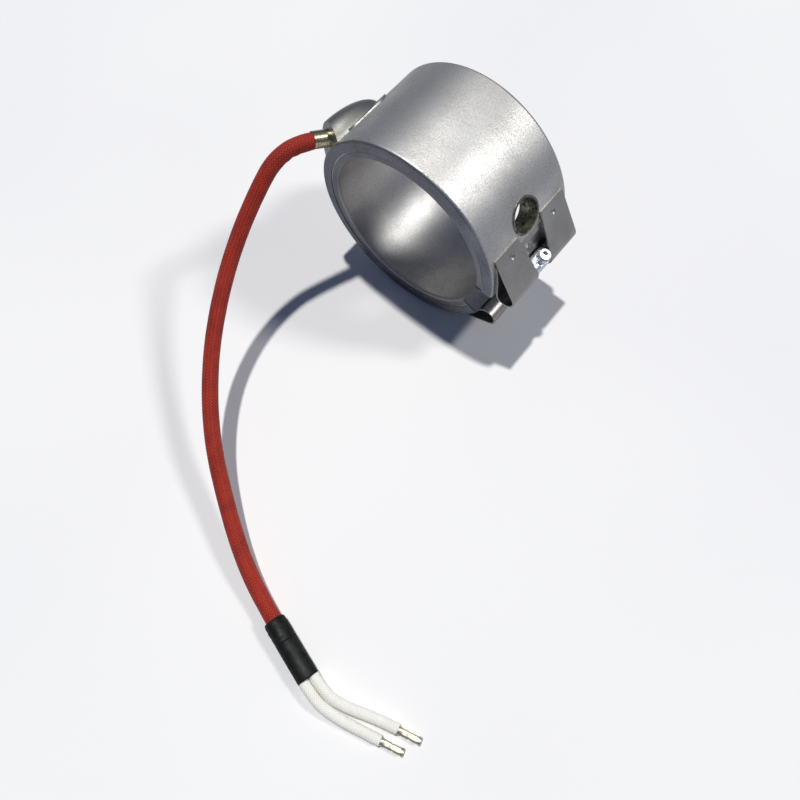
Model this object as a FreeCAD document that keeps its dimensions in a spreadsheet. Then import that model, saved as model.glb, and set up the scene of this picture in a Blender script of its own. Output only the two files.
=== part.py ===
"""Split band heater with a barrel-bar clamp, a pressed terminal cover and a sleeved flying lead.

Frame: millimetres, +Z up, +Y along the bore away from the lead side, origin at the bore's centre
half way along its width. The band lies on its casing and on the tip of the clamp screw.
"""
import FreeCAD, Part
import Sketcher
import math
import os

os.makedirs("parts", exist_ok=True)

Vector = FreeCAD.Vector
axisY = Vector(0, 1, 0)
doc = FreeCAD.newDocument("BandHeater")

# ---------------------------------------------------------------- driving dimensions
dimensions = [
    ("boreRadius", 35.0, "inside of the band, nominal 70 mm bore"),
    ("bandRadius", 43.2, "outside of the casing"),
    ("bandWidth", 48.0, "rim to rim along the bore"),
    ("sheetThick", 0.6, "stainless sheet of casing, sheath, straps and cover"),
    ("casingLipRadius", 38.5, "inner edge of the casing's turned-in rims"),
    ("sheathLipRadius", 38.0, "outer edge of the sheath's turned-out rims"),
    ("rimRound", 1.2, "rounding of the rims"),
    ("sheathInset", 0.3, "how far the sheath's rims lie behind the casing's"),
    ("innerMicaRadius", 36.4, "outside of the inner mica"),
    ("ribbonRadius", 36.9, "outside of the resistance ribbon"),
    ("gapAngle", 25.0, "opening between the split ends"),
    ("capAngle", 0.9, "thickness of an end cap as an angle"),
    ("restAngle", 16.8, "how far the clamp hangs below the horizontal"),
    ("portOffset", 43.7, "thermocouple port, above the clamp's middle"),
    ("portRadius", 6.5, "clear radius of the port"),
    ("portWall", 0.3, "wall of the port's lining"),
    ("portLipRadius", 7.4, "rolled lip of the lining"),
    ("strapWidth", 42.0, "width of both clamp straps"),
    ("strapWeldAngle", 38.2, "free edge of a strap, from the clamp's middle"),
    ("strapLeafAngle", 34.0, "end of a strap's inner leaf"),
    ("windowWide", 7.35, "half width of a strap's window at its free edge"),
    ("windowNarrow", 4.45, "half width of a strap's window at its fold"),
    ("barOut", 46.5, "bar centre, out from the bore axis"),
    ("barSide", 11.0, "bar centre, from the clamp's middle"),
    ("barRadius", 3.5, "barrel bar"),
    ("barLength", 24.0, "barrel bar, shorter than the straps are wide"),
    ("barSlack", 0.05, "play of a bar in its fold"),
    ("seatDepth", 0.78, "flat milled into the upper bar under the washer"),
    ("screwRadius", 1.5, "M3 shank"),
    ("screwLength", 45.0, "under the head"),
    ("screwAlong", 1.6, "screw, off the band's middle towards the far rim"),
    ("headRadius", 2.75, "M3 socket head"),
    ("headHeight", 3.0, "M3 socket head"),
    ("socketFlats", 2.5, "hexagon socket across flats"),
    ("socketDepth", 1.3, "hexagon socket"),
    ("plainHoleRadius", 1.6, "clearance hole of the upper bar"),
    ("tappedHoleRadius", 1.55, "tapped hole of the lower bar, at the thread's crest"),
    ("washerRadius", 2.8, "small washer, turned down to pass the window"),
    ("washerThick", 0.5, "small washer"),
    ("hoodOffset", 163.8, "terminal cover, above the clamp's middle"),
    ("hoodHeight", 8.0, "crest of the cover above the casing"),
    ("hoodHalfWidth", 7.6, "half width of the dome at its foot"),
    ("hoodTail", 22.6, "length of the dome's falling end"),
    ("hoodCrest", -18.0, "where along the bore the crest starts to fall"),
    ("hoodFront", -22.9, "foot of the cover's front wall"),
    ("hoodSink", 1.0, "depth of the dome's centre below the casing's surface"),
    ("exitTilt", 30.0, "angle between the lead's exit and the bore axis"),
    ("flangeHalfWidth", 8.9, "half width of the cover's foot flange"),
    ("flangeFront", -18.4, "front end of the foot flange"),
    ("flangeBack", 7.8, "back end of the foot flange"),
    ("flangeRoundFront", 5.0, "front corners of the foot flange"),
    ("flangeRoundBack", 8.5, "back corners of the foot flange"),
    ("tubeRadius", 3.3, "brass lead tube"),
    ("tubeWall", 0.15, "brass lead tube"),
    ("tubeReach", 6.6, "how far the tube stands out of the front wall"),
    ("tubeLift", 2.86, "tube centre above the casing at the front wall"),
    ("tailSpread", 6.0, "ribbon tails under the cover, one to the other"),
    ("tailThick", 0.5, "ribbon tail"),
    ("tailWide", 3.0, "ribbon tail"),
    ("tailAlong", -10.0, "ribbon tails, along the bore"),
    ("crimpRadius", 1.3, "crimp between ribbon tail and wire"),
    ("crimpLength", 8.0, "crimp between ribbon tail and wire"),
    ("crimpLift", 2.8, "crimps above the casing"),
    ("sleeveRadius", 3.12, "braided sleeve"),
    ("shrinkRadius", 4.3, "heat-shrink over the wires"),
    ("wrapRadius", 4.48, "doubled part of the heat-shrink, over the sleeve"),
    ("wireRadius", 2.1, "fibreglass-insulated wire"),
    ("pinRadius", 1.5, "crimped cord-end ferrule"),
]
sheet = doc.addObject("Spreadsheet::Sheet", "Dimensions")
for row, (alias, value, note) in enumerate(dimensions, start=1):
    sheet.set(f"A{row}", alias)
    sheet.set(f"B{row}", str(value))
    sheet.set(f"C{row}", note)
    sheet.setAlias(f"B{row}", alias)
doc.recompute()
size = {alias: float(sheet.get(alias)) for alias, _, _ in dimensions}

nodes = []


def keep(thing, label):
    """Give a finished sub-part its name and put it on the list of nodes."""
    thing.Label = label
    nodes.append(thing)
    return thing


def bind(thing, **expressions):
    """Bind properties to the sheet; a plain alias or a sum of aliases written as D.alias."""
    for name, expression in expressions.items():
        thing.setExpression(name, expression.replace("D.", "Dimensions."))


def turned(angle):
    """Placement turned about the bore axis; a positive angle lifts +X towards +Z."""
    return FreeCAD.Placement(Vector(), FreeCAD.Rotation(axisY, -angle))


clampTurn = -size["restAngle"]
ringTurn = 180 + clampTurn
portTurn = clampTurn + size["portOffset"]
hoodTurn = clampTurn + size["hoodOffset"] - 90


# ---------------------------------------------------------------- sketches
def newSketch(body, name, role):
    """Sketch on one of the body's own origin planes."""
    sketch = body.newObject("Sketcher::SketchObject", name)
    plane = [f for f in body.Origin.OriginFeatures if f.Role == role][0]
    sketch.AttachmentSupport = [(plane, "")]
    sketch.MapMode = "FlatFace"
    return sketch


def driven(sketch, label, kind, *where, expression):
    """Add a named dimension and bind it to the sheet."""
    index = sketch.addConstraint(Sketcher.Constraint(kind, *where))
    sketch.renameConstraint(index, label)
    sketch.setExpression(f"Constraints.{label}", expression.replace("D.", "Dimensions."))


def rimSection(body, name, inner, outer, half):
    """Rectangle between two radii, as wide on both sides of the band's middle plane."""
    sketch = newSketch(body, name, "XY_Plane")
    corners = [Vector(30, -20, 0), Vector(40, -20, 0), Vector(40, 20, 0), Vector(30, 20, 0)]
    for start, end in zip(corners, corners[1:] + corners[:1]):
        sketch.addGeometry(Part.LineSegment(start, end), False)
    for side in range(4):
        sketch.addConstraint(Sketcher.Constraint("Coincident", side, 2, (side + 1) % 4, 1))
    for side, kind in ((0, "Horizontal"), (2, "Horizontal"), (3, "Vertical")):
        sketch.addConstraint(Sketcher.Constraint(kind, side))
    sketch.addConstraint(Sketcher.Constraint("Symmetric", 0, 2, 1, 2, -1))
    driven(sketch, "inner", "DistanceX", -1, 1, 3, 1, 30.0, expression=inner)
    driven(sketch, "outer", "DistanceX", -1, 1, 1, 1, 40.0, expression=outer)
    driven(sketch, "half", "DistanceY", -1, 1, 1, 2, 20.0, expression=half)
    return sketch


def revolve(body, kind, sketch, sweep, name):
    """Revolution or groove about the bore axis, half of the sweep on each side."""
    feature = body.newObject(kind, name)
    feature.Profile = sketch
    feature.ReferenceAxis = (sketch, ["V_Axis"])
    feature.Midplane = True
    bind(feature, Angle=sweep)
    return feature


def ringBody(name, inner, outer, half, sweep="360 - D.gapAngle - 2 * D.capAngle"):
    """Split ring of rectangular section, its gap turned to the clamp."""
    body = doc.addObject("PartDesign::Body", name)
    section = rimSection(body, name + "Section", inner, outer, half)
    revolve(body, "PartDesign::Revolution", section, sweep, name + "Ring")
    body.Placement = turned(ringTurn)
    return body


def hollowOut(body, name, inner, outer, half):
    """Groove that leaves a channel section."""
    section = rimSection(body, name + "Section", inner, outer, half)
    return revolve(body, "PartDesign::Groove", section, "360", name)


def edgesWhere(shape, test):
    """Names of the arcs whose every vertex passes a test."""
    return [f"Edge{k}" for k, edge in enumerate(shape.Edges, start=1)
            if isinstance(edge.Curve, Part.Circle)
            and all(test(vertex.Point) for vertex in edge.Vertexes)]


def roundRims(body, base, radius, rimRadii, half, name):
    """Round the rims that run at the given radii."""
    doc.recompute()

    def onRim(point):
        fromAxis = math.hypot(point.x, point.z)
        return (abs(abs(point.y) - half) < 0.01
                and any(abs(fromAxis - rim) < 0.01 for rim in rimRadii))

    fillet = body.newObject("PartDesign::Fillet", name)
    fillet.Base = (base, edgesWhere(base.Shape, onRim))
    bind(fillet, Radius=radius)
    return fillet


# ---------------------------------------------------------------- shared cutters
def portCylinder(name, radius):
    """Cylinder along the thermocouple port, from inside the bore to outside the casing."""
    tool = doc.addObject("Part::Cylinder", name)
    bind(tool, Radius=radius, Height="D.bandRadius")
    lift = FreeCAD.Placement(Vector(0, 0, size["bandRadius"] / 2), FreeCAD.Rotation())
    tool.Placement = turned(portTurn - 90).multiply(lift)
    return tool


def annulus(name, inner, outer, length="D.bandWidth"):
    """Full tube about the bore axis."""
    pair = []
    for part, radius in (("Outer", outer), ("Inner", inner)):
        cylinder = doc.addObject("Part::Cylinder", name + part)
        bind(cylinder, Radius=radius, Height=length)
        cylinder.Placement = FreeCAD.Placement(Vector(0, size["bandWidth"] / 2, 0),
                                               FreeCAD.Rotation(Vector(1, 0, 0), 90))
        pair.append(cylinder)
    return boolean("Part::Cut", name, *pair)


def boolean(kind, name, base, tool):
    """Cut or common of two objects."""
    result = doc.addObject(kind, name)
    result.Base = base
    result.Tool = tool
    return result


def fused(name, *shapes):
    """One solid out of touching ones."""
    result = doc.addObject("Part::MultiFuse", name)
    result.Shapes = list(shapes)
    result.Refine = True
    return result


# ---------------------------------------------------------------- band
portHole = portCylinder("PortHole", "D.portRadius + D.portWall")


def tailSlot():
    """Slot under the terminal cover through which the ribbon's tails come up."""
    slot = doc.addObject("Part::Box", "TailSlot")
    bind(slot, Length="D.tailSpread + 3 * D.tailThick", Width="D.tailWide + 2 * D.tailThick")
    slot.Height = 12.0
    slot.Placement = hoodPoint(size["tailAlong"] - size["tailThick"], size["ribbonRadius"] - size["bandRadius"],
                               -(size["tailSpread"] + 3 * size["tailThick"]) / 2)
    return slot


def hoodPoint(along, lift, across=0.0):
    """Placement on the cover: X across it, Y along the bore, Z away from the bore axis."""
    spot = FreeCAD.Placement(Vector(across, along, size["bandRadius"] + lift), FreeCAD.Rotation())
    return turned(hoodTurn).multiply(spot)


tailHole = tailSlot()


def outerCasing():
    """Channel of sheet steel with turned-in rims."""
    body = ringBody("CasingBody", "D.casingLipRadius", "D.bandRadius", "D.bandWidth / 2")
    roundRims(body, body.Tip, "D.rimRound", [size["bandRadius"]], size["bandWidth"] / 2, "CasingRims")
    hollowOut(body, "CasingHollow", "D.casingLipRadius - 1",
              "D.bandRadius - D.sheetThick", "D.bandWidth / 2 - D.sheetThick")
    ported = boolean("Part::Cut", "CasingPorted", body, portHole)
    keep(boolean("Part::Cut", "Casing", ported, tailHole), "outer_casing")


def innerSheath():
    """Channel that faces the bore, its rims turned out behind the casing's."""
    half = "D.bandWidth / 2 - D.sheathInset"
    body = ringBody("SheathBody", "D.boreRadius", "D.sheathLipRadius", half)
    roundRims(body, body.Tip, "D.rimRound", [size["boreRadius"]],
              size["bandWidth"] / 2 - size["sheathInset"], "SheathRims")
    hollowOut(body, "SheathHollow", "D.boreRadius + D.sheetThick",
              "D.sheathLipRadius + 1", half + " - D.sheetThick")
    keep(boolean("Part::Cut", "Sheath", body, portHole), "inner_sheath")


def coreLayers():
    """Mica, resistance ribbon, mica and packed insulation, from the bore outwards."""
    sheathHalf = "D.bandWidth / 2 - D.sheathInset - D.sheetThick"
    casingHalf = "D.bandWidth / 2 - D.sheetThick"
    layers = [
        ("InnerMica", "inner_mica", "D.boreRadius + D.sheetThick", "D.innerMicaRadius", sheathHalf),
        ("Ribbon", "resistance_ribbon", "D.innerMicaRadius", "D.ribbonRadius", sheathHalf + " - 2"),
        ("OuterMica", "outer_mica", "D.ribbonRadius", "D.sheathLipRadius", sheathHalf),
        ("Blanket", "insulation_blanket", "D.sheathLipRadius", "D.bandRadius - D.sheetThick", casingHalf),
    ]
    for name, label, inner, outer, half in layers:
        layer = boolean("Part::Cut", name + "Ported", ringBody(name + "Body", inner, outer, half), portHole)
        keep(boolean("Part::Cut", name, layer, tailHole), label)


def endCap(name, label, side):
    """Plate that closes one split end."""
    body = ringBody(name, "D.boreRadius", "D.bandRadius", "D.bandWidth / 2", "D.capAngle")
    rims = [size["boreRadius"], size["bandRadius"]]
    roundRims(body, body.Tip, "D.rimRound", rims, size["bandWidth"] / 2, name + "Rims")
    away = 180 - (size["gapAngle"] + size["capAngle"]) / 2
    body.Placement = turned(ringTurn + side * away)
    keep(body, label)


def portLining():
    """Thin lining of the port with a lip rolled over the casing."""
    bore = portCylinder("PortBore", "D.portRadius")
    lip = portCylinder("PortLip", "D.portLipRadius")
    through = annulus("PortThrough", "D.boreRadius", "D.bandRadius")
    raised = annulus("PortRaised", "D.bandRadius", "D.bandRadius + D.portWall")
    wall = boolean("Part::Common", "PortWall", portHole, through)
    collar = boolean("Part::Common", "PortCollar", lip, raised)
    solid = fused("PortSolid", wall, collar)
    keep(boolean("Part::Cut", "PortLining", solid, bore), "port_lining")


# ---------------------------------------------------------------- clamp
barCentre = (size["barOut"], size["barSide"])
barDistance = math.hypot(*barCentre)
barAngle = math.degrees(math.atan2(size["barSide"], size["barOut"]))
halfSheet = size["sheetThick"] / 2
foldRadius = size["barRadius"] + size["barSlack"] + halfSheet
leafRadius = size["bandRadius"] + halfSheet


def polar(radius, angle, centre=(0.0, 0.0)):
    """Point of the clamp's section plane, as (out, side)."""
    return (centre[0] + radius * math.cos(math.radians(angle)),
            centre[1] + radius * math.sin(math.radians(angle)))


weldPoint = polar(leafRadius, size["strapWeldAngle"])
toBar = (barCentre[0] - weldPoint[0], barCentre[1] - weldPoint[1])
leafSlope = (math.degrees(math.atan2(toBar[1], toBar[0]))
             + math.degrees(math.asin(foldRadius / math.hypot(*toBar))))
foldStart = leafSlope + 90
leaveAngle = barAngle + math.degrees(math.acos((leafRadius + foldRadius) / barDistance))
foldEnd = leaveAngle - 180
leafLength = math.sqrt(math.hypot(*toBar) ** 2 - foldRadius ** 2)


def strapFace(side):
    """Edges of the folded strip's section; side is 1 above and -1 below the clamp's middle."""
    def point(radius, angle, centre=(0.0, 0.0)):
        out, up = polar(radius, angle, centre)
        return Vector(out, side * up, 0)

    def skin(offset):
        """One face of the strip: offset towards the outside of the fold."""
        fold = foldRadius + offset
        shift = polar(offset, foldStart)
        free = Vector(weldPoint[0] + shift[0], side * (weldPoint[1] + shift[1]), 0)
        foldPoints = [point(fold, angle, barCentre)
                      for angle in (foldStart, (foldStart + foldEnd) / 2, foldEnd)]
        leaf = leafRadius - offset
        middle = (leaveAngle + size["strapLeafAngle"]) / 2
        leafPoints = [point(leaf, angle) for angle in (leaveAngle, middle, size["strapLeafAngle"])]
        edges = [Part.LineSegment(free, foldPoints[0]), Part.Arc(*foldPoints),
                 Part.LineSegment(foldPoints[-1], leafPoints[0]), Part.Arc(*leafPoints)]
        return edges, free, leafPoints[-1]

    outerEdges, outerFree, outerEnd = skin(halfSheet)
    innerEdges, innerFree, innerEnd = skin(-halfSheet)
    return outerEdges + innerEdges + [Part.LineSegment(outerFree, innerFree),
                                      Part.LineSegment(outerEnd, innerEnd)]


def leafPlacement(side, along, lift):
    """Frame on the outer leaf: X across the band, Y along the leaf to the fold, Z out of it."""
    slope = math.radians(leafSlope)
    alongLeaf = Vector(math.cos(slope), 0, side * math.sin(slope))
    outOfLeaf = Vector(-math.sin(slope), 0, side * math.cos(slope))
    across = alongLeaf.cross(outOfLeaf)
    origin = Vector(weldPoint[0], 0, side * weldPoint[1]) + alongLeaf * along + outOfLeaf * lift
    frame = FreeCAD.Placement(origin, FreeCAD.Rotation(across, alongLeaf, outOfLeaf, "XYZ"))
    return turned(clampTurn).multiply(frame)


def clampStrap(name, label, side):
    """Strip folded round a bar, with a window for the screw and two spot welds."""
    body = doc.addObject("PartDesign::Body", name + "Strip")
    sketch = newSketch(body, name + "Section", "XZ_Plane")
    sketch.addGeometry(strapFace(side), False)
    pad = body.newObject("PartDesign::Pad", name + "Pad")
    pad.Profile = sketch
    pad.Midplane = True
    bind(pad, Length="D.strapWidth")
    body.Placement = turned(clampTurn)

    window = doc.addObject("Part::Wedge", name + "Window")
    window.Ymin, window.Ymax = -1.0, leafLength
    window.Zmin, window.Zmax = 0.0, 3.0
    bind(window, Xmin="-D.windowWide", Xmax="D.windowWide",
         X2min="-D.windowNarrow", X2max="D.windowNarrow")
    window.Z2min, window.Z2max = 0.0, 3.0
    window.Placement = leafPlacement(side, 0, -1.4)

    slot = doc.addObject("Part::Box", name + "Slot")
    reach = size["barRadius"] + 4 * size["sheetThick"]
    bind(slot, Width="2 * D.windowNarrow")
    slot.Length = 2 * reach
    slot.Height = 2 * reach
    low = side * size["barSide"] - reach
    corner = Vector(size["barOut"] - 0.6 * size["barRadius"], -size["windowNarrow"], low)
    slot.Placement = turned(clampTurn).multiply(FreeCAD.Placement(corner, FreeCAD.Rotation()))

    opened = boolean("Part::Cut", name + "Opened", boolean("Part::Cut", name + "Cut", body, window), slot)
    welds, dents = [], []
    for mark, across in (("Front", -13.0), ("Back", 13.0)):
        weld = doc.addObject("Part::Cylinder", name + "Weld" + mark)
        weld.Radius, weld.Height = 1.3, 1.1
        weld.Placement = leafPlacement(side, 4.2, -1.1).multiply(
            FreeCAD.Placement(Vector(across, 0, 0), FreeCAD.Rotation()))
        dent = doc.addObject("Part::Sphere", name + "Dent" + mark)
        dent.Radius = 2.0
        dent.Placement = leafPlacement(side, 4.2, 1.75).multiply(
            FreeCAD.Placement(Vector(across, 0, 0), FreeCAD.Rotation()))
        welds.append(weld)
        dents.append(dent)
    welded = fused(name + "Welded", opened, *welds)
    pressed = boolean("Part::Cut", name + "PressedFront", welded, dents[0])
    keep(boolean("Part::Cut", name + "Pressed", pressed, dents[1]), label)


def clampPoint(out, side, along=0.0):
    """Placement in the clamp's frame: X outwards, Y along the bore, Z up the screw."""
    return turned(clampTurn).multiply(FreeCAD.Placement(Vector(out, along, side), FreeCAD.Rotation()))


def barBody(name, side):
    """Round bar across the band with bevelled ends."""
    bar = doc.addObject("Part::Cylinder", name + "Round")
    bind(bar, Radius="D.barRadius", Height="D.barLength")
    lie = FreeCAD.Placement(Vector(0, size["barLength"] / 2, 0), FreeCAD.Rotation(Vector(1, 0, 0), 90))
    bar.Placement = clampPoint(size["barOut"], side * size["barSide"]).multiply(lie)
    doc.recompute()
    bevel = doc.addObject("Part::Chamfer", name + "Bevelled")
    bevel.Base = bar
    ends = [k for k, edge in enumerate(bar.Shape.Edges, start=1) if isinstance(edge.Curve, Part.Circle)]
    bevel.Edges = [(k, 0.4, 0.4) for k in ends]
    return bevel


def crossHole(name, radius, side):
    """Cylinder along the screw through one bar."""
    hole = doc.addObject("Part::Cylinder", name)
    bind(hole, Radius=radius, Height="4 * D.barRadius")
    hole.Placement = clampPoint(size["barOut"], side * size["barSide"] - 2 * size["barRadius"],
                                size["screwAlong"])
    return hole


def clampBars():
    """Upper bar with a seat and a clearance hole, lower bar with the tapped hole."""
    seat = doc.addObject("Part::Box", "BarSeat")
    bind(seat, Length="4 * D.barRadius", Width="2 * D.washerRadius + 0.4", Height="D.barRadius")
    seat.Placement = clampPoint(size["barOut"] - 2 * size["barRadius"], seatSide,
                                size["screwAlong"] - size["washerRadius"] - 0.2)
    upper = boolean("Part::Cut", "UpperSeated", barBody("Upper", 1), seat)
    hole = crossHole("PlainHole", "D.plainHoleRadius", 1)
    keep(boolean("Part::Cut", "UpperBar", upper, hole), "clamp_bar_upper")
    hole = crossHole("TappedHole", "D.tappedHoleRadius", -1)
    keep(boolean("Part::Cut", "LowerBar", barBody("Lower", -1), hole), "clamp_bar_lower")


seatSide = size["barSide"] + size["barRadius"] - size["seatDepth"]


def clampScrew():
    """Socket-head screw pointing down through both bars, and the washer under its head."""
    underHead = seatSide + size["washerThick"]
    body = doc.addObject("PartDesign::Body", "ScrewBody")
    sketch = newSketch(body, "ScrewProfile", "XZ_Plane")
    tip, shank, head = -size["screwLength"], size["screwRadius"], size["headRadius"]
    top, bevel = size["headHeight"], 0.5
    outline = [(0, tip), (shank - bevel, tip), (shank, tip + bevel), (shank, 0), (head, 0),
               (head, top - bevel), (head - bevel, top), (0, top)]
    for start, end in zip(outline, outline[1:] + outline[:1]):
        sketch.addGeometry(Part.LineSegment(Vector(*start, 0), Vector(*end, 0)), False)
    turn = body.newObject("PartDesign::Revolution", "ScrewTurned")
    turn.Profile = sketch
    turn.ReferenceAxis = (sketch, ["V_Axis"])
    turn.Angle = 360
    along = size["screwAlong"]
    body.Placement = clampPoint(size["barOut"], underHead, along)
    socket = doc.addObject("Part::Prism", "Socket")
    socket.Polygon = 6
    bind(socket, Circumradius="D.socketFlats / 1.7320508", Height="D.socketDepth + 1")
    socket.Placement = clampPoint(size["barOut"], underHead + size["headHeight"] - size["socketDepth"],
                                  along)
    keep(boolean("Part::Cut", "Screw", body, socket), "clamp_screw")

    disc = doc.addObject("Part::Cylinder", "WasherDisc")
    bind(disc, Radius="D.washerRadius", Height="D.washerThick")
    disc.Placement = clampPoint(size["barOut"], seatSide, along)
    eye = doc.addObject("Part::Cylinder", "WasherEye")
    bind(eye, Radius="D.plainHoleRadius", Height="3 * D.washerThick")
    eye.Placement = clampPoint(size["barOut"], seatSide - size["washerThick"], along)
    keep(boolean("Part::Cut", "Washer", disc, eye), "screw_washer")


# ---------------------------------------------------------------- terminal cover
def exitFrame(reach):
    """Frame on the lead's exit line: Z runs out of the front wall, reach millimetres from it."""
    tilt = size["exitTilt"]
    slant = math.tan(math.radians(tilt))
    place = hoodPoint(size["hoodFront"] + size["tubeLift"] * slant, size["tubeLift"])
    lean = FreeCAD.Placement(Vector(), FreeCAD.Rotation(Vector(1, 0, 0), 90 - tilt))
    return place.multiply(lean).multiply(FreeCAD.Placement(Vector(0, 0, reach), FreeCAD.Rotation()))


def domeSolid(name, thin):
    """Half-ellipse tunnel with a quarter-ellipsoid tail, cut square to the lead's exit."""
    tail = doc.addObject("Part::Ellipsoid", name + "Tail")
    bind(tail, Radius1=f"D.hoodHeight + D.hoodSink - {thin}", Radius2=f"D.hoodHalfWidth - {thin}",
         Radius3=f"D.hoodTail - {thin}")
    tail.Angle1, tail.Angle2, tail.Angle3 = -90, 90, 360
    tail.Placement = hoodPoint(size["hoodCrest"], -size["hoodSink"])
    oval = doc.addObject("Part::Ellipse", name + "Oval")
    bind(oval, MajorRadius=f"D.hoodHeight + D.hoodSink - {thin}",
         MinorRadius=f"D.hoodHalfWidth - {thin}")
    upright = FreeCAD.Rotation(Vector(1, 0, 0), 90).multiply(FreeCAD.Rotation(Vector(0, 0, 1), 90))
    oval.Placement = hoodPoint(size["hoodCrest"], -size["hoodSink"]).multiply(
        FreeCAD.Placement(Vector(), upright))
    tunnel = doc.addObject("Part::Extrusion", name + "Tunnel")
    tunnel.Base = oval
    tunnel.Solid = True
    tunnel.DirMode = "Custom"
    tunnel.Dir = Vector(0, -1, 0)
    tunnel.LengthFwd = 12.0
    whole = fused(name + "Whole", tail, tunnel)
    wall = doc.addObject("Part::Box", name + "FrontCut")
    wall.Length = wall.Width = wall.Height = 60.0
    wallLift = -size["sheetThick"] if thin != "0" else 0.0
    wall.Placement = exitFrame(wallLift).multiply(
        FreeCAD.Placement(Vector(-30, -30, 0), FreeCAD.Rotation()))
    return boolean("Part::Cut", name + "Fronted", whole, wall)


def casingPlug(name, radius):
    """Full cylinder about the bore axis."""
    plug = doc.addObject("Part::Cylinder", name)
    bind(plug, Radius=radius, Height="2 * D.bandWidth")
    plug.Placement = FreeCAD.Placement(Vector(0, size["bandWidth"], 0), FreeCAD.Rotation(Vector(1, 0, 0), 90))
    return plug


def terminalCover():
    """Pressed dome with a foot flange that follows the casing."""
    outer = domeSolid("DomeOuter", "0")
    inner = domeSolid("DomeInner", "D.sheetThick")
    doc.recompute()

    ring = annulus("FlangeRing", "D.bandRadius", "D.bandRadius + D.sheetThick")
    foot = doc.addObject("Part::Box", "FlangeFoot")
    bind(foot, Length="2 * D.flangeHalfWidth", Width="D.flangeBack - D.flangeFront")
    foot.Height = 12.0
    foot.Placement = hoodPoint(size["flangeFront"], -8.0, -size["flangeHalfWidth"])
    doc.recompute()
    rounded = doc.addObject("Part::Fillet", "FlangeRounded")
    rounded.Base = foot
    upright = []
    outward = turned(hoodTurn).Rotation.multVec(Vector(0, 0, 1))
    for k, edge in enumerate(foot.Shape.Edges, start=1):
        run = edge.Vertexes[1].Point - edge.Vertexes[0].Point
        far = edge.CenterOfMass.y > 0
        radius = size["flangeRoundBack"] if far else size["flangeRoundFront"]
        if abs(run.dot(outward)) > 11:
            upright.append((k, radius, radius))
    rounded.Edges = upright
    flange = boolean("Part::Common", "Flange", ring, rounded)
    shell = fused("CoverSolid", outer, flange)
    hollow = boolean("Part::Cut", "CoverHollow", shell, inner)
    trimmed = boolean("Part::Cut", "CoverTrimmed", hollow, casingPlug("CasingPlug", "D.bandRadius"))
    hole = doc.addObject("Part::Cylinder", "LeadHole")
    bind(hole, Radius="D.tubeRadius", Height="4")
    hole.Placement = exitFrame(-2)
    keep(boolean("Part::Cut", "Cover", trimmed, hole), "terminal_cover")


def leadTube():
    """Brass tube crimped on the sleeve where it leaves the cover."""
    outer = doc.addObject("Part::Cylinder", "TubeOuter")
    inner = doc.addObject("Part::Cylinder", "TubeInner")
    bind(outer, Radius="D.tubeRadius", Height="D.tubeReach + D.sheetThick")
    bind(inner, Radius="D.tubeRadius - D.tubeWall", Height="D.tubeReach + 4 * D.sheetThick")
    outer.Placement = exitFrame(-size["sheetThick"])
    inner.Placement = exitFrame(-2 * size["sheetThick"])
    bored = boolean("Part::Cut", "TubeBored", outer, inner)
    keep(boolean("Part::Cut", "Tube", bored, casingPlug("TubeScarf", "D.bandRadius")), "lead_tube")


def splices():
    """Ribbon tails that come up through the casing and the crimps that join them to the wires."""
    foot = size["ribbonRadius"] - size["bandRadius"]
    for mark, side in (("1", -1), ("2", 1)):
        across = side * size["tailSpread"] / 2
        tail = doc.addObject("Part::Box", "Tail" + mark)
        bind(tail, Length="D.tailThick", Width="D.tailWide",
             Height="D.bandRadius + D.crimpLift - D.crimpRadius - D.ribbonRadius - 0.05")
        tail.Placement = hoodPoint(size["tailAlong"], foot + 0.05, across - size["tailThick"] / 2)
        keep(tail, "ribbon_tail_" + mark)
        crimp = doc.addObject("Part::Cylinder", "Crimp" + mark)
        bind(crimp, Radius="D.crimpRadius", Height="D.crimpLength")
        crimp.Placement = hoodPoint(size["tailAlong"] + size["tailWide"], size["crimpLift"], across).multiply(
            FreeCAD.Placement(Vector(), FreeCAD.Rotation(Vector(1, 0, 0), 90)))
        keep(crimp, "wire_crimp_" + mark)


# ---------------------------------------------------------------- flying lead
def pipe(points, radius, label):
    """Tube along straight runs joined by tangent arcs as large as the runs allow."""
    share = 0.45
    edges, start, radii = [], points[0], []
    for before, corner, after in zip(points, points[1:], points[2:]):
        inward, outward = corner - before, after - corner
        turn = inward.getAngle(outward)
        tangent = share * min(inward.Length, outward.Length)
        radii.append(tangent / math.tan(turn / 2))
        first = corner - inward.normalize() * tangent
        last = corner + outward.normalize() * tangent
        bisector = (last - corner + first - corner).normalize()
        centreGap = radii[-1] / math.cos(turn / 2)
        middle = corner + bisector * (centreGap - radii[-1])
        edges += [Part.LineSegment(start, first).toShape(), Part.Arc(first, middle, last).toShape()]
        start = last
    edges.append(Part.LineSegment(start, points[-1]).toShape())
    path = Part.Wire(edges)
    circle = Part.Circle(points[0], points[1] - points[0], radius)
    tube = path.makePipeShell([Part.Wire(circle.toShape())], True, False)
    expected = math.pi * radius ** 2 * path.Length
    print(f"{label}: length {path.Length:.1f} mm, radii {[round(r, 1) for r in radii]},"
          f" volume {tube.Volume / expected:.4f} of section times length")
    feature = doc.addObject("Part::Feature", label.title().replace("_", ""))
    feature.Shape = tube
    return keep(feature, label)


def leadRoute():
    """Sleeve from the tube to the heat-shrink."""
    begin = exitFrame(0.0).Base
    straight = exitFrame(11.5).Base
    onward = [(-47.0, -42.1, 26.0), (-48.1, -51.3, 18.9), (-46.8, -67.8, 8.1), (-41.5, -87.1, -3.4),
              (-30.3, -109.2, -15.0), (-11.2, -131.0, -23.8), (11.1, -147.2, -31.7),
              (29.4, -157.8, -35.0), (45.2, -164.44, -38.7), (61.57, -169.03, -38.7)]
    return [begin, straight] + [Vector(*point) for point in onward]


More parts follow.
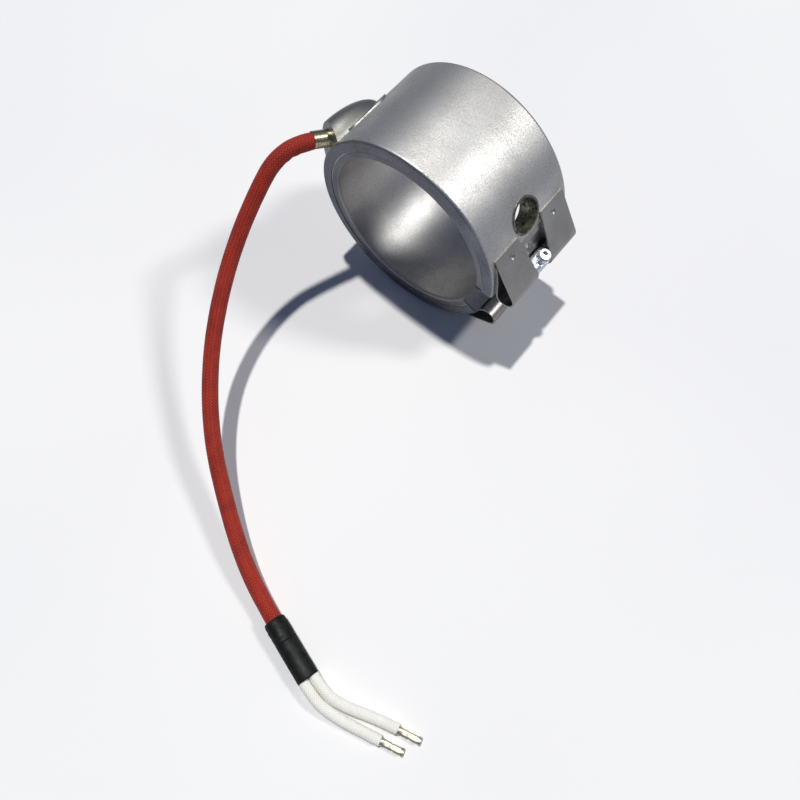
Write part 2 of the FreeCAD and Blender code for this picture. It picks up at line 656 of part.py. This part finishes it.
def flyingLead():
    """Sleeve, heat-shrink, two wires and their ferrules, lying on the floor at the far end."""
    pipe(leadRoute(), size["sleeveRadius"], "lead_sleeve")
    wrapStart = Vector(52.9, -166.6, -38.7)
    wrapEnd = Vector(61.57, -169.03, -38.7)
    shrinkEnd = Vector(76.49, -173.2, -38.7)
    for name, start, end, radius in (("Wrap", wrapStart, wrapEnd, "D.wrapRadius"),
                                     ("WrapBore", wrapStart, wrapEnd, "D.sleeveRadius + 0.01"),
                                     ("ShrinkTube", wrapEnd, shrinkEnd, "D.shrinkRadius")):
        cylinder = doc.addObject("Part::Cylinder", name)
        bind(cylinder, Radius=radius)
        cylinder.Height = (end - start).Length
        cylinder.Placement = FreeCAD.Placement(start, FreeCAD.Rotation(Vector(0, 0, 1), end - start))
    wrap = boolean("Part::Cut", "ShrinkWrap", doc.getObject("Wrap"), doc.getObject("WrapBore"))
    keep(wrap, "shrink_wrap")
    keep(doc.getObject("ShrinkTube"), "shrink_tube")
    low = size["wireRadius"] - size["bandRadius"] + 0.02
    wires = {
        "1": [(75.91, -175.27, -38.7), (83.62, -177.43, -38.7), (92.6, -176.7, -40.5),
              (101.6, -174.4, low), (109.9, -172.2, low)],
        "2": [(77.07, -171.13, -38.7), (84.78, -173.29, -38.7), (93.0, -171.8, -40.6),
              (100.9, -168.9, low), (107.6, -166.6, low), (112.4, -165.4, low)],
    }
    for mark, route in wires.items():
        route = [Vector(*point) for point in route]
        pipe(route, size["wireRadius"], "wire_" + mark)
        along = route[-1] - route[-2]
        pin = doc.addObject("Part::Cylinder", "Pin" + mark)
        bind(pin, Radius="D.pinRadius")
        pin.Height = 9.0
        pin.Placement = FreeCAD.Placement(route[-1], FreeCAD.Rotation(Vector(0, 0, 1), along))
        keep(pin, "end_ferrule_" + mark)


# ---------------------------------------------------------------- build, check and write
def check():
    """Stop if any object failed or any sub-part is not one valid solid."""
    failed = [thing.Name for thing in doc.Objects
              if "Invalid" in thing.State or "Error" in thing.State]
    if failed:
        raise RuntimeError(f"failed: {failed}")
    for node in nodes:
        shape = node.Shape
        if shape.isNull() or not shape.isValid() or len(shape.Solids) != 1:
            raise RuntimeError(f"{node.Label}: {len(shape.Solids)} solids, valid {shape.isValid()}")


outerCasing()
innerSheath()
coreLayers()
endCap("CapUpper", "end_cap_upper", 1)
endCap("CapLower", "end_cap_lower", -1)
portLining()
clampStrap("StrapUpper", "clamp_strap_upper", 1)
clampStrap("StrapLower", "clamp_strap_lower", -1)
clampBars()
clampScrew()
terminalCover()
leadTube()
splices()
flyingLead()
doc.recompute()
check()
for node in nodes:
    node.Shape.exportStep(f"parts/{node.Label}.step")
    print(f"{node.Label}: {node.Shape.Volume:.1f} mm3")
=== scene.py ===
import math

import bmesh
import bpy
from mathutils import Matrix, Vector, noise


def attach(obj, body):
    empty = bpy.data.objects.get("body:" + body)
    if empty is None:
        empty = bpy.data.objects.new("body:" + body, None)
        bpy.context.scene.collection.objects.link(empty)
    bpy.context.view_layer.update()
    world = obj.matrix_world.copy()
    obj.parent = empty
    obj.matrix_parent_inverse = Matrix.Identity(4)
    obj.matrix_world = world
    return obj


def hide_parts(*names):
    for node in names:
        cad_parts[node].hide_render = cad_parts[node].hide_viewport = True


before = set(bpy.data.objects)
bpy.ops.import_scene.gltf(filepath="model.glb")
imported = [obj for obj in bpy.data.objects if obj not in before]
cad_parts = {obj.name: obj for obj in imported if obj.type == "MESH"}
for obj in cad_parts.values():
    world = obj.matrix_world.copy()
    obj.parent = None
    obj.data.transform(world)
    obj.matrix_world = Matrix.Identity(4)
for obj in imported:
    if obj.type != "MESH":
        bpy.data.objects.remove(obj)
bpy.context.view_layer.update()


def deselectAll():
    if bpy.context.object and bpy.context.object.mode != "OBJECT":
        bpy.ops.object.mode_set(mode="OBJECT")
    bpy.ops.object.select_all(action="DESELECT")


def pick(piece):
    deselectAll()
    piece.select_set(True)
    bpy.context.view_layer.objects.active = piece


def settle(piece):
    # the piece's place goes into its mesh
    pick(piece)
    bpy.ops.object.transform_apply(location=True, rotation=True, scale=True)


def applyModifier(piece, kind, name, **values):
    modifier = piece.modifiers.new(name, kind)
    for key, value in values.items():
        setattr(modifier, key, value)
    pick(piece)
    bpy.ops.object.modifier_apply(modifier=name)


def smooth(piece, degrees=35):
    pick(piece)
    bpy.ops.object.shade_smooth_by_angle(angle=math.radians(degrees))


def selectParts(piece, kind, wanted):
    # in edit mode, selects the corners, edges or faces that are wanted
    bpy.ops.mesh.select_mode(type=kind)
    bpy.ops.mesh.select_all(action="DESELECT")
    work = bmesh.from_edit_mesh(piece.data)
    for part in {"VERT": work.verts, "EDGE": work.edges, "FACE": work.faces}[kind]:
        if wanted(part):
            part.select_set(True)
    work.select_flush_mode()
    bmesh.update_edit_mesh(piece.data)


def frameAt(origin, along, across):
    # matrix whose Z runs along and whose X lies towards across
    z = Vector(along).normalized()
    x = (Vector(across) - Vector(across).dot(z) * z).normalized()
    y = z.cross(x)
    turned = Matrix((x, y, z)).transposed().to_4x4()
    return Matrix.Translation(Vector(origin)) @ turned


# shader groups, each built once
def newGroup(name, inputs, outputs):
    group = bpy.data.node_groups.new(name, "ShaderNodeTree")
    for label, kind, value in inputs:
        socket = group.interface.new_socket(name=label, in_out="INPUT", socket_type=kind)
        if value is not None:
            socket.default_value = value
    for label, kind in outputs:
        group.interface.new_socket(name=label, in_out="OUTPUT", socket_type=kind)
    tree = group.nodes
    return group, tree, group.links, tree.new("NodeGroupInput"), tree.new("NodeGroupOutput")


def mathNode(tree, links, operation, first, second=None, third=None):
    node = tree.new("ShaderNodeMath")
    node.operation = operation
    for index, value in enumerate((first, second, third)):
        if value is None:
            continue
        if isinstance(value, (int, float)):
            node.inputs[index].default_value = value
        else:
            links.new(value, node.inputs[index])
    return node.outputs[0]


def noiseNode(tree, links, vector, scale, detail=3.0, rough=0.55):
    node = tree.new("ShaderNodeTexNoise")
    node.inputs["Detail"].default_value = detail
    node.inputs["Roughness"].default_value = rough
    if isinstance(scale, (int, float)):
        node.inputs["Scale"].default_value = scale
    else:
        links.new(scale, node.inputs["Scale"])
    links.new(vector, node.inputs["Vector"])
    return node.outputs["Fac"]


def makeBlastedGrain():
    # fine pits and cloudy patches of a bead-blasted sheet
    group, tree, links, given, result = newGroup("blastedGrain", [
        ("Vector", "NodeSocketVector", None), ("Pits", "NodeSocketFloat", 2600.0),
        ("Clouds", "NodeSocketFloat", 60.0)],
        [("Grain", "NodeSocketFloat"), ("Cloud", "NodeSocketFloat"), ("Height", "NodeSocketFloat")])
    pits = noiseNode(tree, links, given.outputs["Vector"], given.outputs["Pits"], 2.0)
    clouds = noiseNode(tree, links, given.outputs["Vector"], given.outputs["Clouds"], 4.0)
    coarse = mathNode(tree, links, "MULTIPLY", given.outputs["Pits"], 0.35)
    lumps = noiseNode(tree, links, given.outputs["Vector"], coarse, 2.0)
    both = mathNode(tree, links, "MULTIPLY_ADD", lumps, 0.6, pits)
    links.new(pits, result.inputs["Grain"])
    links.new(clouds, result.inputs["Cloud"])
    links.new(both, result.inputs["Height"])
    return group


def makeBraid():
    # two families of yarns that pass over and under each other; U goes round, V along
    group, tree, links, given, result = newGroup("braidWeave", [
        ("Vector", "NodeSocketVector", None), ("Round", "NodeSocketFloat", 16.0),
        ("Along", "NodeSocketFloat", 16.0)],
        [("Height", "NodeSocketFloat")])
    split = tree.new("ShaderNodeSeparateXYZ")
    links.new(given.outputs["Vector"], split.inputs[0])
    u = mathNode(tree, links, "MULTIPLY", split.outputs[0], given.outputs["Round"])
    v = mathNode(tree, links, "MULTIPLY", split.outputs[1], given.outputs["Along"])
    rising = mathNode(tree, links, "ADD", u, v)
    falling = mathNode(tree, links, "SUBTRACT", u, v)
    crowns = []
    for line in (rising, falling):
        whole = mathNode(tree, links, "FRACT", line)
        middle = mathNode(tree, links, "SUBTRACT", whole, 0.5)
        square = mathNode(tree, links, "MULTIPLY", middle, middle)
        crowns.append(mathNode(tree, links, "MULTIPLY_ADD", square, -4.0, 1.0))
    sumCell = mathNode(tree, links, "ADD", mathNode(tree, links, "FLOOR", rising),
                       mathNode(tree, links, "FLOOR", falling))
    over = mathNode(tree, links, "MODULO", mathNode(tree, links, "ABSOLUTE", sumCell), 2.0)
    under = mathNode(tree, links, "SUBTRACT", 1.0, over)
    height = mathNode(tree, links, "ADD", mathNode(tree, links, "MULTIPLY", crowns[0], over),
                      mathNode(tree, links, "MULTIPLY", crowns[1], under))
    links.new(height, result.inputs["Height"])
    return group


blastedGrain = makeBlastedGrain()
braidWeave = makeBraid()


def newMaterial(name):
    material = bpy.data.materials.new(name)
    material.use_nodes = True
    tree = material.node_tree.nodes
    return material, tree, material.node_tree.links, tree["Principled BSDF"]


def rampNode(tree, links, value, stops):
    node = tree.new("ShaderNodeValToRGB")
    ramp = node.color_ramp
    while len(ramp.elements) < len(stops):
        ramp.elements.new(0.5)
    for element, (place, color) in zip(ramp.elements, stops):
        element.position = place
        element.color = (*color, 1)
    links.new(value, node.inputs[0])
    return node.outputs[0]


def remap(tree, links, value, low, high, toLow, toHigh):
    node = tree.new("ShaderNodeMapRange")
    for index, number in enumerate((low, high, toLow, toHigh), start=1):
        node.inputs[index].default_value = number
    links.new(value, node.inputs[0])
    return node.outputs[0]


def bump(tree, links, shader, height, strength, distance):
    node = tree.new("ShaderNodeBump")
    node.inputs["Strength"].default_value = strength
    node.inputs["Distance"].default_value = distance
    links.new(height, node.inputs["Height"])
    links.new(node.outputs[0], shader.inputs["Normal"])


def paintedRimShade(tree, links, place, color, shadeColor):
    # painted shade: the turned-over edges of the band are made darker and bluer than its face, standing
    # in for the shadowed floor and blue sky that they mirror
    split = tree.new("ShaderNodeSeparateXYZ")
    links.new(place, split.inputs[0])
    edge = mathNode(tree, links, "ABSOLUTE", split.outputs["Y"])
    mix = tree.new("ShaderNodeMix")
    mix.data_type = "RGBA"
    mix.blend_type = "MULTIPLY"
    links.new(remap(tree, links, edge, 0.0233, 0.0238, 0.0, 1.0), mix.inputs["Factor"])
    links.new(color, mix.inputs[6])
    mix.inputs[7].default_value = (*shadeColor, 1)
    return mix.outputs[2]


def blastedSteel(name, dark, light, smoothest, roughest, pits, clouds, rimShade=None):
    material, tree, links, shader = newMaterial(name)
    place = tree.new("ShaderNodeTexCoord").outputs["Object"]
    grain = tree.new("ShaderNodeGroup")
    grain.node_tree = blastedGrain
    grain.inputs["Pits"].default_value = pits
    grain.inputs["Clouds"].default_value = clouds
    links.new(place, grain.inputs["Vector"])
    mixed = mathNode(tree, links, "MULTIPLY_ADD", grain.outputs["Cloud"], 0.45,
                     mathNode(tree, links, "MULTIPLY", grain.outputs["Grain"], 0.55))
    color = rampNode(tree, links, mixed, [(0.36, dark), (0.66, light)])
    # painted shade on the band's turned-over edges
    if rimShade:
        color = paintedRimShade(tree, links, place, color, rimShade)
    links.new(color, shader.inputs["Base Color"])
    shader.inputs["Metallic"].default_value = 1.0
    links.new(remap(tree, links, mixed, 0.3, 0.7, roughest, smoothest), shader.inputs["Roughness"])
    bump(tree, links, shader, grain.outputs["Height"], 0.35, 0.00012)
    return material


# painted shade: the multiplier that darkens and blues the band's turned-over edges
rimShadeColor = (0.38, 0.41, 0.47)
steelLooks = {
    "blastedSheet": {"dark": (0.44, 0.43, 0.405), "light": (0.80, 0.79, 0.76), "smoothest": 0.42,
                     "roughest": 0.56, "pits": 2400.0, "clouds": 55.0, "rimShade": rimShadeColor},
    "innerSheet": {"dark": (0.38, 0.37, 0.36), "light": (0.66, 0.645, 0.625), "smoothest": 0.40,
                   "roughest": 0.54, "pits": 2200.0, "clouds": 40.0, "rimShade": rimShadeColor},
    "strapSheet": {"dark": (0.36, 0.35, 0.325), "light": (0.56, 0.545, 0.51), "smoothest": 0.34,
                   "roughest": 0.48, "pits": 3000.0, "clouds": 80.0},
    "coverSheet": {"dark": (0.26, 0.26, 0.235), "light": (0.46, 0.46, 0.42), "smoothest": 0.36,
                   "roughest": 0.50, "pits": 2600.0, "clouds": 120.0},
    "zincPlate": {"dark": (0.78, 0.83, 0.91), "light": (0.95, 0.97, 1.0), "smoothest": 0.32,
                  "roughest": 0.44, "pits": 1500.0, "clouds": 260.0},
    "yellowZinc": {"dark": (0.42, 0.37, 0.20), "light": (0.86, 0.79, 0.56), "smoothest": 0.20,
                   "roughest": 0.36, "pits": 900.0, "clouds": 300.0},
    "portMetal": {"dark": (0.06, 0.064, 0.05), "light": (0.42, 0.41, 0.30), "smoothest": 0.28,
                  "roughest": 0.58, "pits": 900.0, "clouds": 420.0},
    "tinnedPin": {"dark": (0.78, 0.68, 0.42), "light": (0.98, 0.94, 0.80), "smoothest": 0.34,
                  "roughest": 0.48, "pits": 900.0, "clouds": 400.0},
    "ribbonMetal": {"dark": (0.35, 0.33, 0.31), "light": (0.5, 0.48, 0.45), "smoothest": 0.3,
                    "roughest": 0.5, "pits": 2000.0, "clouds": 90.0},
}
steels = {name: blastedSteel(name, **look) for name, look in steelLooks.items()}


def plainLayer(name, dark, light, scale, rough):
    material, tree, links, shader = newMaterial(name)
    place = tree.new("ShaderNodeTexCoord").outputs["Object"]
    value = noiseNode(tree, links, place, scale, 5.0)
    links.new(rampNode(tree, links, value, [(0.35, dark), (0.65, light)]), shader.inputs["Base Color"])
    shader.inputs["Roughness"].default_value = rough
    bump(tree, links, shader, value, 0.3, 0.0002)
    return material


micaSheet = plainLayer("micaSheet", (0.45, 0.38, 0.27), (0.68, 0.60, 0.46), 400.0, 0.45)
packing = plainLayer("packing", (0.78, 0.75, 0.68), (0.90, 0.88, 0.82), 700.0, 0.95)


def braided(name, valley, crown, around, along, rough, relief, mottle):
    # colours go from the gaps between the yarns to their crowns, the darker gaps being painted shade
    # between the yarns; UV gives the weave
    material, tree, links, shader = newMaterial(name)
    coords = tree.new("ShaderNodeTexCoord")
    weave = tree.new("ShaderNodeGroup")
    weave.node_tree = braidWeave
    weave.inputs["Round"].default_value = around
    weave.inputs["Along"].default_value = along
    links.new(coords.outputs["UV"], weave.inputs["Vector"])
    patches = noiseNode(tree, links, coords.outputs["Object"], mottle, 3.0)
    fibre = noiseNode(tree, links, coords.outputs["Object"], 5000.0, 2.0)
    shade = mathNode(tree, links, "MULTIPLY_ADD", patches, 0.5,
                     mathNode(tree, links, "MULTIPLY", weave.outputs["Height"], 0.5))
    shade = mathNode(tree, links, "MULTIPLY_ADD", fibre, 0.2, shade)
    color = rampNode(tree, links, shade, [(0.38, valley), (0.86, crown)])
    links.new(color, shader.inputs["Base Color"])
    links.new(remap(tree, links, fibre, 0.3, 0.7, rough - 0.1, rough), shader.inputs["Roughness"])
    shader.inputs["Sheen Weight"].default_value = 0.12
    shader.inputs["Specular IOR Level"].default_value = 0.3
    shader.inputs["Sheen Roughness"].default_value = 0.4
    bump(tree, links, shader, weave.outputs["Height"], 0.7, relief)
    return material


# valley is the painted shade colour in the gaps between the yarns
braidLooks = {
    "redBraid": {"valley": (0.11, 0.006, 0.004), "crown": (0.46, 0.030, 0.012), "around": 16.0,
                 "along": 800.0, "rough": 0.66, "relief": 0.00020, "mottle": 180.0},
    "glassBraid": {"valley": (0.84, 0.81, 0.71), "crown": (0.985, 0.97, 0.91), "around": 12.0,
                   "along": 900.0, "rough": 0.85, "relief": 0.00016, "mottle": 300.0},
}
braids = {name: braided(name, **look) for name, look in braidLooks.items()}


def makeShrink():
    material, tree, links, shader = newMaterial("blackShrink")
    place = tree.new("ShaderNodeTexCoord").outputs["Object"]
    streaks = noiseNode(tree, links, place, 350.0, 4.0)
    color = rampNode(tree, links, streaks, [(0.4, (0.004, 0.0045, 0.004)),
                                            (0.75, (0.016, 0.018, 0.016))])
    links.new(color, shader.inputs["Base Color"])
    links.new(remap(tree, links, streaks, 0.3, 0.7, 0.58, 0.46), shader.inputs["Roughness"])
    shader.inputs["Specular IOR Level"].default_value = 0.25
    bump(tree, links, shader, streaks, 0.4, 0.0003)
    return material


blackShrink = makeShrink()


# sleeves and wires are mesh tubes that follow a smooth route
def smoothRoute(name, points):
    curve = bpy.data.curves.new(name, "CURVE")
    curve.dimensions = "3D"
    spline = curve.splines.new("NURBS")
    spline.points.add(len(points) - 1)
    for point, place in zip(spline.points, points):
        point.co = (*[value / 1000 for value in place], 1)
    spline.order_u = 3
    spline.use_endpoint_u = True
    spline.resolution_u = 24
    holder = bpy.data.objects.new(name, curve)
    bpy.context.collection.objects.link(holder)
    bpy.context.view_layer.update()
    mesh = bpy.data.meshes.new_from_object(holder)
    path = [vertex.co.copy() for vertex in mesh.vertices]
    bpy.data.objects.remove(holder)
    return path


def evenly(path, step):
    # the same line with even spacing
    lengths = [0.0]
    for a, b in zip(path, path[1:]):
        lengths.append(lengths[-1] + (b - a).length)
    count = max(2, round(lengths[-1] / step))
    result, k = [], 0
    for i in range(count + 1):
        target = lengths[-1] * i / count
        while k < len(path) - 2 and lengths[k + 1] < target:
            k += 1
        share = (target - lengths[k]) / max(lengths[k + 1] - lengths[k], 1e-9)
        result.append(path[k].lerp(path[k + 1], share))
    return result, lengths[-1]


def sweepTube(name, path, radius, sides, shape=None):
    # shape(distance, angle, side) gives a factor on the radius
    mesh = bpy.data.meshes.new(name)
    work = bmesh.new()
    uv = work.loops.layers.uv.new("UVMap")
    rings, travelled = [], 0.0
    across = (path[1] - path[0]).orthogonal().normalized()
    distances = []
    for i, point in enumerate(path):
        ahead = (path[min(i + 1, len(path) - 1)] - path[max(i - 1, 0)]).normalized()
        across = (across - across.dot(ahead) * ahead).normalized()
        other = ahead.cross(across)
        if i:
            travelled += (point - path[i - 1]).length
        distances.append(travelled)
        ring = []
        for j in range(sides):
            angle = 2 * math.pi * j / sides
            direction = across * math.cos(angle) + other * math.sin(angle)
            factor = shape(travelled, angle, direction) if shape else 1.0
            ring.append(work.verts.new(point + direction * radius * factor))
        rings.append(ring)
    for i in range(len(rings) - 1):
        for j in range(sides):
            k = (j + 1) % sides
            face = work.faces.new((rings[i][j], rings[i][k], rings[i + 1][k], rings[i + 1][j]))
            face.smooth = True
            for loop, (u, v) in zip(face.loops, ((j, i), (j + 1, i), (j + 1, i + 1), (j, i + 1))):
                loop[uv].uv = (u / sides, distances[v])
    work.faces.new(list(reversed(rings[0])))
    work.faces.new(rings[-1])
    work.to_mesh(mesh)
    work.free()
    piece = bpy.data.objects.new(name, mesh)
    bpy.context.collection.objects.link(piece)
    return piece


def dress(piece, material, node):
    piece.data.materials.clear()
    piece.data.materials.append(material)
    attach(piece, "heater")
    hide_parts(node)


lead = {
    "route": [(-38.629, -21.249, 25.086), (-43.452, -31.208, 28.218), (-47.0, -42.1, 26.0),
              (-48.1, -51.3, 18.9), (-46.8, -67.8, 8.1), (-41.5, -87.1, -3.4), (-30.3, -109.2, -15.0),
              (-11.2, -131.0, -23.8), (11.1, -147.2, -31.7), (29.4, -157.8, -35.0),
              (45.2, -164.44, -38.7), (61.57, -169.03, -38.7)],
    "radius": 0.0032, "inTube": 0.0031, "tubeEnd": 0.0066, "release": 0.0022, "uneven": 0.012,
    "bendInside": (0.45, 0.25, -0.85),
    "creases": [(0.0125, 0.0010, 0.05), (0.0165, 0.0013, 0.10), (0.0205, 0.0011, 0.05)],
    "step": 0.0006, "sides": 40,
}


def sleeveShape(travelled, angle, direction):
    # squeezed in the tube, creased on the inside of the first bend, a little uneven everywhere
    factor = 1.0 + lead["uneven"] * noise.noise(Vector((travelled * 160, angle * 0.5, 3.0)))
    released = min(max((travelled - lead["tubeEnd"]) / lead["release"], 0.0), 1.0)
    factor *= 1.0 - (1.0 - lead["inTube"] / lead["radius"]) * (1.0 - released)
    inside = max(direction.dot(Vector(lead["bendInside"])), 0.0)
    for place, width, depth in lead["creases"]:
        factor -= depth * inside * math.exp(-((travelled - place) / width) ** 2)
    return factor


leadPath, leadLength = evenly(smoothRoute("leadRoute", lead["route"]), lead["step"])
leadSleeve = sweepTube("leadSleeve", leadPath, lead["radius"], lead["sides"], sleeveShape)
dress(leadSleeve, braids["redBraid"], "lead_sleeve")
print("lead sleeve", round(leadLength * 1000, 1), "mm")

shrink = {
    "route": [(52.9, -166.6, -38.7), (61.57, -169.03, -38.7), (76.49, -173.2, -38.7)],
    "radius": 0.0043, "step": 0.0005, "sides": 48, "settled": 0.008, "flattened": 0.16,
    "wrapRadius": 0.00447, "wrapStep": 0.00035, "wrapSides": 56, "wrapEdge": 0.0007,
}


def tubeShape(travelled, angle, direction):
    # steps down from the sleeve, then settles on the two wires side by side
    flat = shrink["flattened"] * min(travelled / shrink["settled"], 1.0) * abs(direction.z) ** 2
    return 1.0 - flat + 0.012 * noise.noise(Vector((travelled * 300, angle, 7.0)))


def wrapShape(travelled, angle, direction):
    ripple = noise.noise(Vector((travelled * 700, math.cos(angle) * 1.6, math.sin(angle) * 1.6)))
    return 0.965 + 0.035 * ripple - 0.10 * math.exp(-travelled / shrink["wrapEdge"])


points = [Vector(place) / 1000 for place in shrink["route"]]
shrinkPath = evenly(points[1:], shrink["step"])[0]
shrinkTube = sweepTube("shrinkTube", shrinkPath, shrink["radius"], shrink["sides"], tubeShape)
dress(shrinkTube, blackShrink, "shrink_tube")
wrapPath = evenly(points[:2], shrink["wrapStep"])[0]
shrinkWrap = sweepTube("shrinkWrap", wrapPath, shrink["wrapRadius"], shrink["wrapSides"], wrapShape)
dress(shrinkWrap, blackShrink, "shrink_wrap")
print("shrink tube and wrap")

wires = {
    "wireOne": {"node": "wire_1", "pin": "end_ferrule_1", "radius": 0.0021,
                "route": [(75.91, -175.27, -38.7), (83.62, -177.43, -38.7), (92.6, -176.7, -40.5),
                          (101.6, -174.4, -41.08), (109.9, -172.2, -41.08)]},
    "wireTwo": {"node": "wire_2", "pin": "end_ferrule_2", "radius": 0.0021,
                "route": [(77.07, -171.13, -38.7), (84.78, -173.29, -38.7), (93.0, -171.8, -40.6),
                          (100.9, -168.9, -41.08), (107.6, -166.6, -41.08), (112.4, -165.4, -41.08)]},
}
wireLook = {"step": 0.0005, "sides": 32}
pinLook = {
    "radius": 0.0015, "length": 0.009, "vertices": 24, "cuts": 11,
    "flat": 0.00120, "pressed": 0.72, "pressedFrom": -0.0031, "pressedTo": 0.0035,
    "flare": 1.16, "waist": 0.82, "wall": 0.0003, "mouth": 0.0005, "edge": 0.00008, "sharp": 40,
}


def crimpedPin(name):
    # a tube end pressed to four flats, with a waist between the presses and a flare at the wire
    half, near = pinLook["length"] / 2, pinLook["length"] / 90
    reach = pinLook["pressed"] * pinLook["radius"]
    deselectAll()
    bpy.ops.mesh.primitive_cylinder_add(vertices=pinLook["vertices"], radius=pinLook["radius"],
                                        depth=pinLook["length"])
    pin = bpy.context.object
    pin.name = name
    bpy.ops.object.mode_set(mode="EDIT")
    selectParts(pin, "EDGE", lambda edge: abs(edge.verts[0].co.z - edge.verts[1].co.z) > half)
    bpy.ops.mesh.subdivide(number_cuts=pinLook["cuts"])
    for axis in (0, 1):
        for side in (-1, 1):
            selectParts(pin, "VERT", lambda corner: side * corner.co[axis] > reach
                        and pinLook["pressedFrom"] < corner.co.z < pinLook["pressedTo"])
            flatten = [1, 1, 1]
            flatten[axis] = 0
            centre = [0, 0, 0]
            centre[axis] = side * pinLook["flat"]
            bpy.ops.transform.resize(value=flatten, center_override=centre)
    for place, factor in ((0.0, pinLook["waist"]), (-half, pinLook["flare"])):
        selectParts(pin, "VERT", lambda corner: abs(corner.co.z - place) < near)
        bpy.ops.transform.resize(value=(factor, factor, 1), center_override=(0, 0, place))
    selectParts(pin, "FACE", lambda face: face.calc_center_median().z > half - near)
    bpy.ops.mesh.inset(thickness=pinLook["wall"])
    bpy.ops.mesh.extrude_region_move(TRANSFORM_OT_translate={"value": (0, 0, -pinLook["mouth"])})
    bpy.ops.object.mode_set(mode="OBJECT")
    applyModifier(pin, "BEVEL", "edges", width=pinLook["edge"], segments=2, limit_method="ANGLE",
                  angle_limit=math.radians(pinLook["sharp"]))
    smooth(pin, pinLook["sharp"])
    return pin


for name, wire in wires.items():
    path, length = evenly(smoothRoute(name + "Route", wire["route"]), wireLook["step"])
    piece = sweepTube(name, path, wire["radius"], wireLook["sides"])
    dress(piece, braids["glassBraid"], wire["node"])
    along = (path[-1] - path[-2]).normalized()
    middle = path[-1] + along * pinLook["length"] / 2
    pin = crimpedPin(name + "Ferrule")
    pin.matrix_world = frameAt(middle, along, (0, 0, 1))
    settle(pin)
    dress(pin, steels["tinnedPin"], wire["pin"])
    print(name, round(length * 1000, 1), "mm")

finishes = {
    "blastedSheet": ["outer_casing", "end_cap_upper", "end_cap_lower"],
    "innerSheet": ["inner_sheath"],
    "strapSheet": ["clamp_strap_upper", "clamp_strap_lower"],
    "coverSheet": ["terminal_cover"],
    "zincPlate": ["clamp_bar_upper", "clamp_bar_lower", "clamp_screw", "screw_washer"],
    "yellowZinc": ["lead_tube"],
    "portMetal": ["port_lining"],
    "tinnedPin": ["wire_crimp_1", "wire_crimp_2"],
    "ribbonMetal": ["resistance_ribbon", "ribbon_tail_1", "ribbon_tail_2"],
    "micaSheet": ["inner_mica", "outer_mica"],
    "packing": ["insulation_blanket"],
}
materials = {**steels, "micaSheet": micaSheet, "packing": packing}
for finish, pieces in finishes.items():
    for node in pieces:
        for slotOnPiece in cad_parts[node].material_slots:
            slotOnPiece.material = materials[finish]
print("finishes", len(finishes))

# mirroredShade is painted reflection shade: the darker floor colour that only metal reflections see
floorLook = {"size": 6.0, "height": -0.0432, "mirroredShade": (0.55, 0.56, 0.60), "rough": 0.8,
             "dull": (0.86, 0.855, 0.86), "bright": (0.93, 0.925, 0.91), "clouds": 3.0}
deselectAll()
bpy.ops.mesh.primitive_plane_add(size=floorLook["size"], location=(0, 0, floorLook["height"]))
floor = bpy.context.object
floor.name = "floor"
floorPaper, floorTree, floorLinks, floorShader = newMaterial("floorPaper")
floorPlace = floorTree.new("ShaderNodeTexCoord").outputs["Object"]
floorCloud = noiseNode(floorTree, floorLinks, floorPlace, floorLook["clouds"], 2.0)
floorColor = rampNode(floorTree, floorLinks, floorCloud, [(0.3, floorLook["dull"]),
                                                          (0.7, floorLook["bright"])])
# painted reflection shade: glossy rays see the floor multiplied darker, so metal mirrors a darker floor
# than the camera sees
floorReflectionShade = floorTree.new("ShaderNodeMix")  # the paper ends not far off, so metal mirrors a darker floor
floorReflectionShade.data_type = "RGBA"
floorReflectionShade.blend_type = "MULTIPLY"
floorLinks.new(floorTree.new("ShaderNodeLightPath").outputs["Is Glossy Ray"], floorReflectionShade.inputs["Factor"])
floorLinks.new(floorColor, floorReflectionShade.inputs[6])
floorReflectionShade.inputs[7].default_value = (*floorLook["mirroredShade"], 1)
floorLinks.new(floorReflectionShade.outputs[2], floorShader.inputs["Base Color"])
floorShader.inputs["Roughness"].default_value = floorLook["rough"]
floor.data.materials.append(floorPaper)
print("floor")

# one sun nearly straight above, and a softer one that comes in over the clamp
suns = {
    "ceilingSun": {"from": (-0.197, 0.115, 0.974), "spread": 2.6, "strength": 2.28,
                   "color": (1.0, 0.985, 0.96)},
    "windowSun": {"from": (0.50, 0.48, 0.72), "spread": 9.0, "strength": 1.05,
                  "color": (1.0, 0.99, 0.97)},
}
for name, sun in suns.items():
    light = bpy.data.lights.new(name, "SUN")
    light.angle = math.radians(sun["spread"])
    light.energy = sun["strength"]
    light.color = sun["color"]
    holder = bpy.data.objects.new(name, light)
    bpy.context.collection.objects.link(holder)
    holder.rotation_euler = Vector(sun["from"]).to_track_quat("Z", "Y").to_euler()

skyLook = {"color": (0.38, 0.56, 1.0, 1), "strength": 0.13}
world = bpy.data.worlds.new("studio")
bpy.context.scene.world = world
world.use_nodes = True
sky = world.node_tree.nodes["Background"]
sky.inputs["Color"].default_value = skyLook["color"]
sky.inputs["Strength"].default_value = skyLook["strength"]
print("lights", len(suns))

view = {"place": (0.1038, -0.1423, 0.2231), "turn": (21.30, 1.60, 39.60), "lens": 29.96, "sensor": 36}
camera = bpy.data.cameras.new("camera")
camera.lens = view["lens"]
camera.sensor_width = view["sensor"]
camera.clip_start = 0.01
cameraHolder = bpy.data.objects.new("camera", camera)
bpy.context.collection.objects.link(cameraHolder)
cameraHolder.location = view["place"]
cameraHolder.rotation_euler = [math.radians(angle) for angle in view["turn"]]
bpy.context.scene.camera = cameraHolder
bpy.context.scene.view_settings.view_transform = "Standard"
